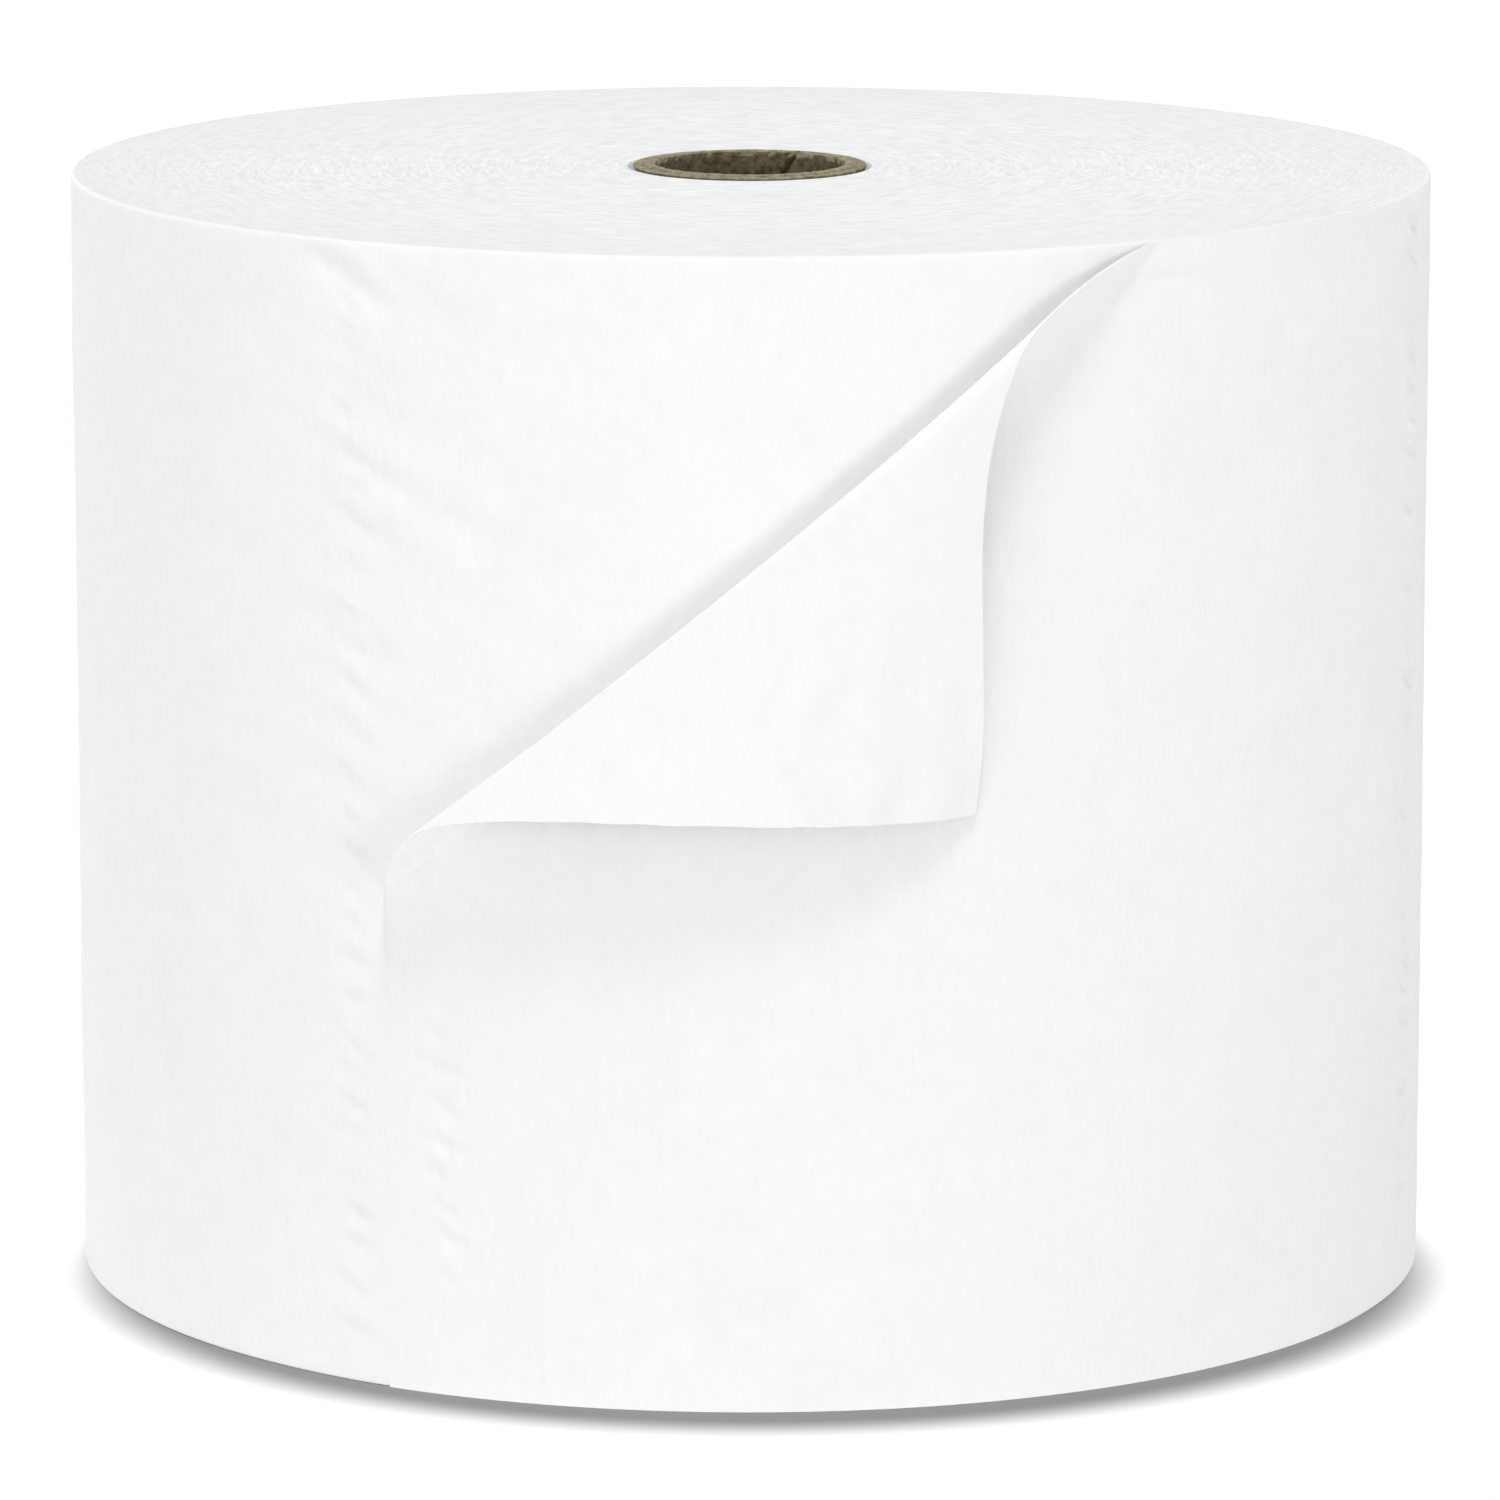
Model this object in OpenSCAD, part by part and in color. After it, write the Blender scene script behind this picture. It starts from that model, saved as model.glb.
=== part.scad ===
// Toilet paper roll: one tissue web wound on a paperboard core, standing on its end.
// The origin is the centre of the core's bore on the bottom face, +Z runs up the bore,
// and -Y is the front, where the torn edge lies with its upper corner folded over.

/* [Roll] */
// Height of the roll, which is the width of the web
roll_h = 99; // [90:0.5:120]
// Diameter of the roll over its last turn
roll_d = 121.6; // [110:0.1:140]
// Thickness of the last turn, both plies with their loft
web_t = 0.3; // [0.2:0.05:0.4]
// Bevel of the two rims
rim_bevel = 0.5; // [0.45:0.05:1.5]

/* [End faces] */
// Distance from one visible turn to the next
turn_pitch = 1.6; // [1.2:0.1:3]
// Width of the valley between two turns
valley_w = 0.45; // [0.2:0.05:0.9]
// Depth of that valley
valley_d = 0.2; // [0.1:0.05:0.5]

/* [Core] */
// Outside diameter of the core, which the web is wound on
core_od = 20.9; // [18:0.1:40]
// Wall of the core, both plies of board
core_wall = 1.95; // [1:0.05:2.5]
// Thickness of the outer ply of board
outer_ply = 0.9; // [0.4:0.05:0.95]
// Height that the core stands out of the top face
core_proud = 0.3; // [0.2:0.05:1]
// Step down from the inner ply to the outer one at the top
ply_step = 0.12; // [0.05:0.01:0.2]

/* [Torn edge and folded corner] */
// Angle of the torn edge from the front, seen from above
tail_angle = -30.6; // [-60:0.1:-10]
// Length of the torn edge that is folded over, down from the top
tail_free = 55.7; // [50:0.1:62]
// Length of the top edge that is folded over, on from the torn edge
top_free = 69.7; // [64:0.1:76]
// Lift of the curl at the torn edge
tail_lift = 3.8; // [2:0.1:6]
// Lift of the curl at the top edge
top_lift = 4.6; // [2:0.1:8]
// Lift of the corner's tip
tip_lift = 0.6; // [0.5:0.05:3]
// Distance of the tip back from where the top edge leaves the roll
tip_back = 18; // [14:0.5:22]
// Distance of the tip up from where the torn edge leaves the roll
tip_up = 8; // [5:0.5:11]

/* [Curve of the torn edge over the fold] */
// Distance of its crest on from the torn edge's line
tail_crest_on = 3.3; // [2:0.1:5]
// Distance of its crest up from where it leaves the roll
tail_crest_up = 4.8; // [3:0.1:7]
// Handle where it leaves the roll
tail_leave = 1.2; // [0.5:0.1:3]
// Handle up to the crest
tail_rise = 2.9; // [1:0.1:5]
// Handle down from the crest
tail_fall = 6.8; // [3:0.1:10]
// Handle into the tip
tail_reach = 17.7; // [10:0.1:24]

/* [Curve of the top edge over the fold] */
// Distance of its crest back from where it leaves the roll
top_crest_back = 16; // [12:0.1:20]
// Distance of its crest down from the top
top_crest_down = 9; // [6:0.1:12]
// Handle where it leaves the roll
top_leave = 2.5; // [1:0.1:5]
// Handle up to the crest
top_rise = 6.8; // [3:0.1:10]
// Handle down from the crest
top_fall = 13.5; // [8:0.1:18]
// Handle into the tip
top_reach = 14.7; // [8:0.1:20]

/* [Hidden] */
$fn = 96;

roll_r = roll_d / 2;
core_r = core_od / 2;
bore_r = core_r - core_wall;
over = 2;

// The valleys' sizes are kept to binary fractions of a millimetre, whose sums are exact. So each
// valley of one half of the round meets the next one of the other half edge to edge.
grid = 1 / 4096;
function on_grid(size) = round(size / grid) * grid;
pitch = 2 * on_grid(turn_pitch / 2);

// Directions of the two free edges in the sheet, at the crest and at the tip
tail_crest_angle = 60;
tail_tip_angle = 4.9;
top_crest_angle = -111;
top_tip_angle = -95.4;

// Places on the folded corner are [distance from the torn edge, height from the top edge, lift].
tail_root = [0, -tail_free, 0];
top_root = [top_free, 0, 0];
corner_tip = [top_free - tip_back, tip_up - tail_free, tip_lift];
tail_crest = [tail_crest_on, tail_crest_up - tail_free, tail_lift];
top_crest = [top_free - top_crest_back, -top_crest_down, top_lift];

// The seam between the flat turn and the curl, and the direction across it to the corner
seam_run = top_root - tail_root;
seam_across = [-seam_run[1], seam_run[0], 0] / norm(seam_run);
seam_notch = 0.5;
seam_lap = 2;
// Share of the web's thickness that the sheet keeps where it enters the last turn
root_share = 0.4;
// Lift at which the sheet has its full thickness again
full_lift = 0.5;

// Facets of the sheet, along the fold and round the curl
sheet_cols = 28;
sheet_rows = 40;

function bezier(p, t) =
    pow(1 - t, 3) * p[0] + 3 * pow(1 - t, 2) * t * p[1] + 3 * (1 - t) * t * t * p[2] + pow(t, 3) * p[3];

// A step of some length at an angle in the sheet, rising or falling with it
function stride(len, angle, fall) = len * [cos(angle), sin(angle), fall];

// Fall of lift for each millimetre between the crest and the tip
function fall_to_tip(crest) =
    (corner_tip[2] - crest[2]) / norm([corner_tip[0] - crest[0], corner_tip[1] - crest[1]]);

// The curve of a free edge from the roll up and over the curl to its crest
function edge_up(root, leave, crest, rise, angle) =
    [root, root + leave, crest - stride(rise, angle, fall_to_tip(crest) / 2), crest];

// The curve of a free edge from its crest down to the tip
function edge_down(crest, fall, angle, reach, tip_angle) = [
    crest,
    crest + stride(fall, angle, fall_to_tip(crest) / 2),
    corner_tip - stride(reach, tip_angle, fall_to_tip(crest)),
    corner_tip
];

tail_edge = [
    edge_up(tail_root, [0, tail_leave, 0], tail_crest, tail_rise, tail_crest_angle),
    edge_down(tail_crest, tail_fall, tail_crest_angle, tail_reach, tail_tip_angle)
];
top_edge = [
    edge_up(top_root, [-top_leave, 0, 0], top_crest, top_rise, top_crest_angle),
    edge_down(top_crest, top_fall, top_crest_angle, top_reach, top_tip_angle)
];

function edge_point(edge, t) = t < 0.5 ? bezier(edge[0], 2 * t) : bezier(edge[1], 2 * t - 1);

// The sheet is ruled from its torn edge to its top edge.
function sheet_place(s, t) = (1 - s) * edge_point(tail_edge, t) + s * edge_point(top_edge, t);

// Lays a place of the sheet on the roll, with the middle of the last turn as lift 0.
function on_roll(p) =
    let (
        angle = tail_angle + p[0] / roll_r * 180 / PI,
        r = roll_r - web_t / 2 + p[2]
    )
    [r * sin(angle), -r * cos(angle), roll_h + p[1]];

function unit(v) = v / norm(v);

// Direction out of the sheet's face, away from the roll where the sheet leaves it
function sheet_normal(s, t) =
    let (
        d = 0.002,
        s0 = max(0, s - d),
        s1 = min(1, s + d),
        t0 = max(0, t - d),
        t1 = min(1 - d, t + d)
    )
    unit(cross(
        on_roll(sheet_place(s1, t)) - on_roll(sheet_place(s0, t)),
        on_roll(sheet_place(s, t1)) - on_roll(sheet_place(s, t0))
    ));

function sheet_t(lift) = web_t * (root_share + (1 - root_share) * min(1, lift / full_lift));

// One point of a face of the sheet: side is 1 on the face that looks out at the root, and -1 behind it
function sheet_point(s, t, side) =
    let (p = sheet_place(s, t))
    on_roll(p) + side * sheet_t(p[2]) / 2 * sheet_normal(s, t);

// The row that is buried in the last turn
function root_point(s, side) =
    let (
        p = sheet_place(s, 0) - seam_lap * seam_across,
        q = on_roll(p)
    )
    q + side * sheet_t(0) / 2 * unit([q[0], q[1], 0]);

function face_points(side) = [
    for (i = [0:sheet_cols]) root_point(i / sheet_cols, side),
    for (j = [0:sheet_rows - 1], i = [0:sheet_cols]) sheet_point(i / sheet_cols, j / sheet_rows, side),
    on_roll(corner_tip) + side * web_t / 2 * sheet_normal(0.5, 1 - 1 / sheet_rows)
];

// Two triangles over the four corners of a patch
function patch(a, b, c, d) = [[a, b, c], [a, c, d]];

module folded_corner() {
    w = sheet_cols + 1;
    face_n = w * (sheet_rows + 1) + 1;
    tip = face_n - 1;
    last = w * sheet_rows;
    patches = [
        for (j = [0:sheet_rows - 1], i = [0:sheet_cols - 1])
            let (a = j * w + i)
            each concat(
                patch(a, a + w, a + w + 1, a + 1),
                patch(face_n + a, face_n + a + 1, face_n + a + w + 1, face_n + a + w)
            )
    ];
    tip_fan = [
        for (i = [0:sheet_cols - 1])
            each [
                [last + i, tip, last + i + 1],
                [face_n + last + i, face_n + last + i + 1, face_n + tip]
            ]
    ];
    root_rim = [for (i = [0:sheet_cols - 1]) each patch(i, i + 1, face_n + i + 1, face_n + i)];
    edge_rims = [
        for (j = [0:sheet_rows - 1])
            let (a = j * w, b = a + sheet_cols)
            each concat(
                patch(a, face_n + a, face_n + a + w, a + w),
                patch(b, b + w, face_n + b + w, face_n + b)
            )
    ];
    tip_rims = concat(
        patch(last, face_n + last, face_n + tip, tip),
        patch(last + sheet_cols, tip, face_n + tip, face_n + last + sheet_cols)
    );
    polyhedron(
        points = concat(face_points(1), face_points(-1)),
        faces = concat(patches, tip_fan, root_rim, edge_rims, tip_rims),
        convexity = 10
    );
}

// Half of a round blank with bevelled rims, from the torn edge's plane round to the far side
module half_blank(r) {
    rotate_extrude(angle = 180)
        polygon([
            [0, 0],
            [r - rim_bevel, 0],
            [r, rim_bevel],
            [r, roll_h - rim_bevel],
            [r - rim_bevel, roll_h],
            [0, roll_h]
        ]);
}

// What the last turn lacks where its corner is folded away, out past the rim
module turned_away() {
    steps = 16;
    low = -over;
    high = top_free + over;
    rise = tail_free / top_free;
    notch = seam_notch * norm(seam_run) / top_free;
    function seam_at(along) =
        let (angle = tail_angle + along / roll_r * 180 / PI)
        [roll_r * sin(angle), roll_h - tail_free + along * rise - notch];
    top = roll_h + 2 * over;
    seam = [for (k = [0:steps]) seam_at(low + (high - low) * k / steps)];
    intersection() {
        difference() {
            cylinder(h = roll_h + over, r = roll_r + over);
            translate([0, 0, -over]) cylinder(h = roll_h + 3 * over, r = roll_r - web_t);
        }
        rotate([90, 0, 0])
            linear_extrude(roll_d)
                polygon(concat(seam, [[seam[steps][0], top], [seam[0][0], top]]));
    }
}

// Valleys between the turns for half a round: a comb over the top face, its teeth let into it
module half_valleys(inset) {
    first = on_grid(core_r) + 1.5 * pitch - inset;
    count = floor((roll_r - rim_bevel - valley_w - first - inset) / pitch);
    slope = valley_w / 2 / valley_d;
    back = 0.5;
    reach = on_grid(slope * (valley_d + back));
    tooth = [
        for (i = [0:count])
            let (r = first + i * pitch)
            each [
                [r - reach, roll_h + back],
                [r, roll_h - valley_d],
                [r + reach, roll_h + back]
            ]
    ];
    last = first + count * pitch + reach;
    rotate_extrude(angle = 180)
        polygon(concat(tooth, [[last, roll_h + 2 * back], [first - reach, roll_h + 2 * back]]));
}

// Places a second half so that each turn runs on into the next one in
module second_half(step) {
    translate([-step / 2, 0, 0]) rotate([0, 0, 180]) children();
}

// The same form on the top face and on the bottom one
module both_ends() {
    children();
    translate([0, 0, roll_h]) mirror([0, 0, 1]) children();
}

// The valleys of the whole round on one end face
module spiral_valleys() {
    half_valleys(0);
    second_half(pitch) half_valleys(pitch / 2);
}

// The whole web: every turn, the torn edge's step, and the curl with its folded corner
module tissue_roll() {
    color([0.965, 0.968, 0.965]) {
        rotate([0, 0, tail_angle - 90])
            difference() {
                union() {
                    difference() {
                        half_blank(roll_r);
                        rotate([0, 0, 90 - tail_angle]) turned_away();
                    }
                    second_half(web_t) half_blank(roll_r - web_t / 2);
                }
                translate([0, 0, -over]) cylinder(h = roll_h + 2 * over, r = core_r);
                both_ends() spiral_valleys();
            }
        folded_corner();
    }
}

// A tube of two plies of board, the inner one standing a little higher at the top
module core_tube() {
    inner_top = roll_h + core_proud;
    color([0.62, 0.59, 0.50])
        rotate_extrude()
            polygon([
                [bore_r, 0],
                [core_r, 0],
                [core_r, inner_top - ply_step],
                [core_r - outer_ply, inner_top - ply_step],
                [core_r - outer_ply, inner_top],
                [bore_r, inner_top]
            ]);
}

tissue_roll();
core_tube();
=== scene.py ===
"""A toilet paper roll standing on its end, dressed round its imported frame.

One tissue web is wound on a narrow board core. Its torn end lies at the front left, and the
upper corner of the last turn is folded over to the front.
"""

from __future__ import annotations

import logging
import math
import random
from dataclasses import dataclass, field
from enum import Enum
from typing import ClassVar

import bmesh
import bpy
from mathutils import Euler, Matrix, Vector, noise

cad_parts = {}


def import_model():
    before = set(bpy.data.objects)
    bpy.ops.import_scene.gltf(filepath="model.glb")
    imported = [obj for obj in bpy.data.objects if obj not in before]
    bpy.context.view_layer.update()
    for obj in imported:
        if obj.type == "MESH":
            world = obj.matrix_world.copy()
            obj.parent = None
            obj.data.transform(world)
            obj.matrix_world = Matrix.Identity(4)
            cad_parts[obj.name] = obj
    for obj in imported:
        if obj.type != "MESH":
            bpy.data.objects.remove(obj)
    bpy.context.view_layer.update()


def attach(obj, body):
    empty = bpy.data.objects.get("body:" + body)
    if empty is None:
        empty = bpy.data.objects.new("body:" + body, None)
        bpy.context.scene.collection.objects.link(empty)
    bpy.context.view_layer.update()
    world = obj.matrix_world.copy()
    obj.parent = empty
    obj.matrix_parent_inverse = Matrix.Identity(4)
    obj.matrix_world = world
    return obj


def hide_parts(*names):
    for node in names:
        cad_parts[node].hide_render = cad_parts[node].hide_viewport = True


LOG = logging.getLogger("toilet_paper_roll")

MM = 0.001
TURN = 2 * math.pi


def blend(low: float, high: float, share: float) -> float:
    """Return the value that lies a share of the way from low to high."""
    return low + (high - low) * share


def ease(low: float, high: float, value: float) -> float:
    """Return 0 at low and before it, 1 at high and past it, and a smooth change between them."""
    share = min(1.0, max(0.0, (value - low) / (high - low)))
    return share * share * (3 - 2 * share)


def bezier(points: list[Vector], share: float) -> Vector:
    """Return the point of a cubic curve at a share of its run.

    Args:
        points: The curve's start, two handles and end.
        share: How far along the curve, from 0 to 1.

    Returns:
        The point on the curve.
    """
    rest = 1 - share
    a, b, c, d = points
    return rest**3 * a + 3 * rest * rest * share * b + 3 * rest * share * share * c + share**3 * d


@dataclass(frozen=True)
class Winding:
    """Sizes of the wound web, and the places on its outside."""

    radius: float = 60.8 * MM
    height: float = 99.0 * MM
    web: float = 0.14 * MM
    tail_angle: float = math.radians(-30.6)
    loose_to: float = -57 * MM
    pressed_from: float = -65 * MM

    def pressed(self, above: float) -> float:
        """Return how far the torn edge is pressed flush at a height, from 0 to 1."""
        return ease(self.loose_to, self.pressed_from, above)

    def point(self, along: float, above: float, lift: float) -> Vector:
        """Return the place on the roll of a point of the web.

        Args:
            along: Distance from the torn edge, round the roll.
            above: Height over the top edge, which is negative on the web.
            lift: Distance out from the middle of the last turn.

        Returns:
            The point, in metres.
        """
        angle = self.tail_angle + along / self.radius
        r = self.radius - self.web / 2 + lift
        return Vector((r * math.sin(angle), -r * math.cos(angle), self.height + above))


@dataclass(frozen=True)
class Crease:
    """One shallow fold pressed into the outside of the web: a groove with a ridge above it."""

    along: float
    above: float
    length: float
    width: float
    depth: float
    slant: float
    reach: ClassVar[float] = 2.5
    widest: ClassVar[float] = 4.0
    ridge_share: ClassVar[float] = 0.6
    ridge_place: ClassVar[float] = 1.6

    def height(self, along: float, above: float) -> float:
        """Return how far the crease moves the web out at a place."""
        x, z = along - self.along, above - self.above
        if max(abs(x), abs(z)) > self.reach * self.length:
            return 0.0
        c, s = math.cos(self.slant), math.sin(self.slant)
        run = (x * c + z * s) / self.length
        across = (z * c - x * s) / self.width
        if abs(across) > self.widest:
            return 0.0
        groove = math.exp(-across * across)
        ridge = self.ridge_share * math.exp(-((across - self.ridge_place) ** 2))
        return self.depth * math.exp(-run * run) * (ridge - groove)


@dataclass
class Relief:
    """The unevenness of the outside: broad softness, and creases in columns and at the curl.

    Lengths in the calls below are in millimetres, from the torn edge and the top edge.
    """

    winding: Winding
    broad_depth: float = 0.06 * MM
    middle_depth: float = 0.05 * MM
    upright_depth: float = 0.03 * MM
    rim_fade: float = 1.5 * MM
    creases: list[Crease] = field(init=False, default_factory=list)

    def __post_init__(self) -> None:
        """Draw the creases, the same ones each time."""
        draw = random.Random(7)
        self._column(draw, -3.4, -2.0, -95.0, 3.4, 0.165)
        self._column(draw, 5.2, -60.0, -90.0, 3.0, 0.165)
        self._column(draw, 110.5, -3.0, -92.0, 2.9, 0.38)
        self._at_the_curl(draw)
        self._waves(draw)

    def _crease(
        self, along: float, above: float, length: float, width: float, depth: float, slant: float
    ) -> None:
        """Add one crease, with its sizes in millimetres and its slant in degrees."""
        self.creases.append(
            Crease(along * MM, above * MM, length * MM, width * MM, depth * MM, math.radians(slant))
        )

    def _column(
        self, draw: random.Random, along: float, top: float, low: float, step: float, depth: float
    ) -> None:
        """Draw one column of short creases that fall to the right."""
        above = top
        while above > low:
            self._crease(
                along + draw.uniform(-0.8, 0.6),
                above,
                draw.uniform(1.1, 2.3),
                draw.uniform(0.45, 0.8),
                depth * draw.uniform(0.5, 1.3),
                draw.uniform(-42, -16),
            )
            above -= step * draw.uniform(0.7, 1.25)

    def _at_the_curl(self, draw: random.Random) -> None:
        """Draw the fine creases where the web bends up into the curl."""
        for _ in range(16):
            share = draw.uniform(0, 1)
            self._crease(
                blend(67.0, 57.0, share) + draw.uniform(-0.5, 2.5),
                blend(-2.5, -10.0, share) + draw.uniform(-0.8, 0.8),
                draw.uniform(0.8, 2.0),
                draw.uniform(0.3, 0.45),
                draw.uniform(0.06, 0.13),
                draw.uniform(-80, -50),
            )
        self._crease(71.0, -3.2, 5.0, 0.5, 0.13, 1.0)
        self._crease(2.6, -53.2, 1.8, 0.45, 0.10, 18.0)
        self._crease(1.4, -58.4, 1.8, 0.40, 0.09, -5.0)

    def _waves(self, draw: random.Random) -> None:
        """Draw the long soft waves that run down to the right at the upper left."""
        for above, along, length, depth in (
            (-2.4, -5.4, 3.4, 0.34),
            (-4.6, -1.0, 3.0, 0.20),
            (-4.6, 4.0, 5.5, 0.17),
            (-10.0, -3.0, 5.0, 0.12),
            (-15.0, 1.0, 9.0, 0.12),
            (-21.0, 2.0, 10.0, 0.16),
            (-28.0, 4.0, 11.0, 0.16),
            (-35.0, -1.0, 9.0, 0.13),
            (-41.0, 2.0, 7.0, 0.10),
            (-47.0, -4.0, 6.0, 0.10),
        ):
            width = draw.uniform(1.1, 1.6)
            self._crease(along, above, length, width, depth, draw.uniform(-30, -20))

    def height(self, along: float, above: float) -> float:
        """Return how far the web stands out at a place, fading to nothing at the rims."""
        angle = along / self.winding.radius
        round_place = Vector((math.cos(angle), math.sin(angle), above / self.winding.radius)) * 2.4
        soft = self.broad_depth * noise.noise(round_place)
        soft += self.middle_depth * noise.noise(round_place * 4 + Vector((7, 3, 1)))
        upright = Vector((round_place.x * 11, round_place.y * 11, round_place.z * 3))
        soft += self.upright_depth * noise.noise(upright)
        for crease in self.creases:
            soft += crease.height(along, above)
        edge = min(-above, self.winding.height + above)
        return soft * ease(0.0, self.rim_fade, edge)


@dataclass(frozen=True)
class FreeEdge:
    """One edge of the folded corner: up over the curl to its crest, then down to the tip."""

    root: Vector
    leave: Vector
    crest: Vector
    crest_in: float
    crest_out: float
    crest_angle: float
    tip: Vector
    tip_in: float
    tip_angle: float

    def _stride(self, length: float, angle: float, share: float) -> Vector:
        """Return a step in the sheet that falls with a share of the fall to the tip."""
        run = math.hypot(self.tip.x - self.crest.x, self.tip.y - self.crest.y)
        fall = (self.tip.z - self.crest.z) / run * share
        turned = math.radians(angle)
        return length * Vector((math.cos(turned), math.sin(turned), fall))

    def point(self, share: float) -> Vector:
        """Return the place on the edge, where half the share is the crest."""
        if share < 0.5:
            before = self.crest - self._stride(self.crest_in, self.crest_angle, 0.5)
            return bezier([self.root, self.root + self.leave, before, self.crest], 2 * share)
        after = self.crest + self._stride(self.crest_out, self.crest_angle, 0.5)
        last = self.tip - self._stride(self.tip_in, self.tip_angle, 1.0)
        return bezier([self.crest, after, last, self.tip], 2 * share - 1)


@dataclass
class FoldedCorner:
    """The corner of the last turn that is curled over and lies on the front of the roll."""

    tail_free: float = 55.7 * MM
    top_free: float = 69.7 * MM
    tail_lift: float = 3.8 * MM
    top_lift: float = 4.2 * MM
    tip_lift: float = 0.5 * MM
    tip_back: float = 18 * MM
    tip_up: float = 8 * MM
    puff: float = 2.4 * MM
    ripple: float = 0.26 * MM
    ripple_step: float = 5.2 * MM
    tail: FreeEdge = field(init=False)
    top: FreeEdge = field(init=False)

    def __post_init__(self) -> None:
        """Work out the two free edges from the sizes."""
        tip = Vector((self.top_free - self.tip_back, self.tip_up - self.tail_free, self.tip_lift))
        self.tail = FreeEdge(
            root=Vector((0, -self.tail_free, 0)),
            leave=Vector((0, 1.2 * MM, 0)),
            crest=Vector((3.3 * MM, 4.8 * MM - self.tail_free, self.tail_lift)),
            crest_in=2.9 * MM,
            crest_out=6.8 * MM,
            crest_angle=60,
            tip=tip,
            tip_in=17.7 * MM,
            tip_angle=4.9,
        )
        self.top = FreeEdge(
            root=Vector((self.top_free, 0, 0)),
            leave=Vector((-2.5 * MM, 0, 0)),
            crest=Vector((self.top_free - 16 * MM, -9 * MM, self.top_lift)),
            crest_in=6.8 * MM,
            crest_out=13.5 * MM,
            crest_angle=-111,
            tip=tip,
            tip_in=14.7 * MM,
            tip_angle=-95.4,
        )

    def shape(self, along: float, above: float) -> tuple[Vector, float]:
        """Carry a point of the flat web to where the folded corner holds it.

        Args:
            along: Distance from the torn edge on the flat web.
            above: Height over the top edge on the flat web.

        Returns:
            The point's distance from the torn edge, height and lift on the roll, and how far
            over the corner it is: 0 or less on the flat turn, and 1 at the corner's tip.
        """
        across, down = along / self.top_free, -above / self.tail_free
        over = 1 - across - down
        if over <= 0:
            return Vector((along, above, 0)), over
        side = across / max(across + down, 1e-9)
        crest_at = blend(0.14, 0.29, side)
        if over < crest_at:
            share = 0.5 * over / crest_at
        else:
            share = 0.5 + 0.5 * (over - crest_at) / (1 - crest_at)
        place = self.tail.point(share).lerp(self.top.point(share), side)
        puff = self._puffing(share, side)
        return place + Vector((0, 0.2 * puff, puff + self._rippling(place, over))), over

    def _puffing(self, share: float, side: float) -> float:
        """Return how far the flap's lower edge stands off the roll, between crest and tip."""
        past = max(0.0, 2 * share - 1)
        return self.puff * (1 - side) * math.sin(math.pi * past**1.4)

    def _rippling(self, place: Vector, over: float) -> float:
        """Return the lift of the soft upright ripples on the lower half of the flap."""
        low = ease(-26 * MM, -40 * MM, place.y)
        wander = 1.3 * noise.noise(Vector((place.x, place.y, 0)) / (9 * MM))
        wave = math.sin(TURN * place.x / self.ripple_step + 3 * wander)
        size = noise.noise(Vector((place.x / (14 * MM), 4.0, 2.0)))
        return self.ripple * low * ease(0.3, 0.6, over) * wave * (0.7 + size)


def new_object(name: str, mesh: bmesh.types.BMesh, materials: list[bpy.types.Material]) -> bpy.types.Object:
    """Turn a bmesh into a smooth-shaded object at the origin.

    Args:
        name: The piece's name.
        mesh: The finished bmesh, which is freed.
        materials: The materials, in the order of the faces' indices.

    Returns:
        The new object, linked to the scene.
    """
    data = bpy.data.meshes.new(name)
    mesh.to_mesh(data)
    mesh.free()
    for face in data.polygons:
        face.use_smooth = True
    for material in materials:
        data.materials.append(material)
    piece = bpy.data.objects.new(name, data)
    bpy.context.scene.collection.objects.link(piece)
    return piece


def grid_of(columns: int, rows: int) -> tuple[bmesh.types.BMesh, list[list[bmesh.types.BMVert]]]:
    """Make a bmesh grid and sort its corners into columns of rows.

    Args:
        columns: Number of corner columns.
        rows: Number of corner rows.

    Returns:
        The bmesh, and its corners as a list of columns.
    """
    mesh = bmesh.new()
    made = bmesh.ops.create_grid(mesh, x_segments=columns - 1, y_segments=rows - 1, size=1)
    ordered = sorted(made["verts"], key=lambda v: (round(v.co.x, 5), round(v.co.y, 5)))
    return mesh, [ordered[i * rows : (i + 1) * rows] for i in range(columns)]


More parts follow.
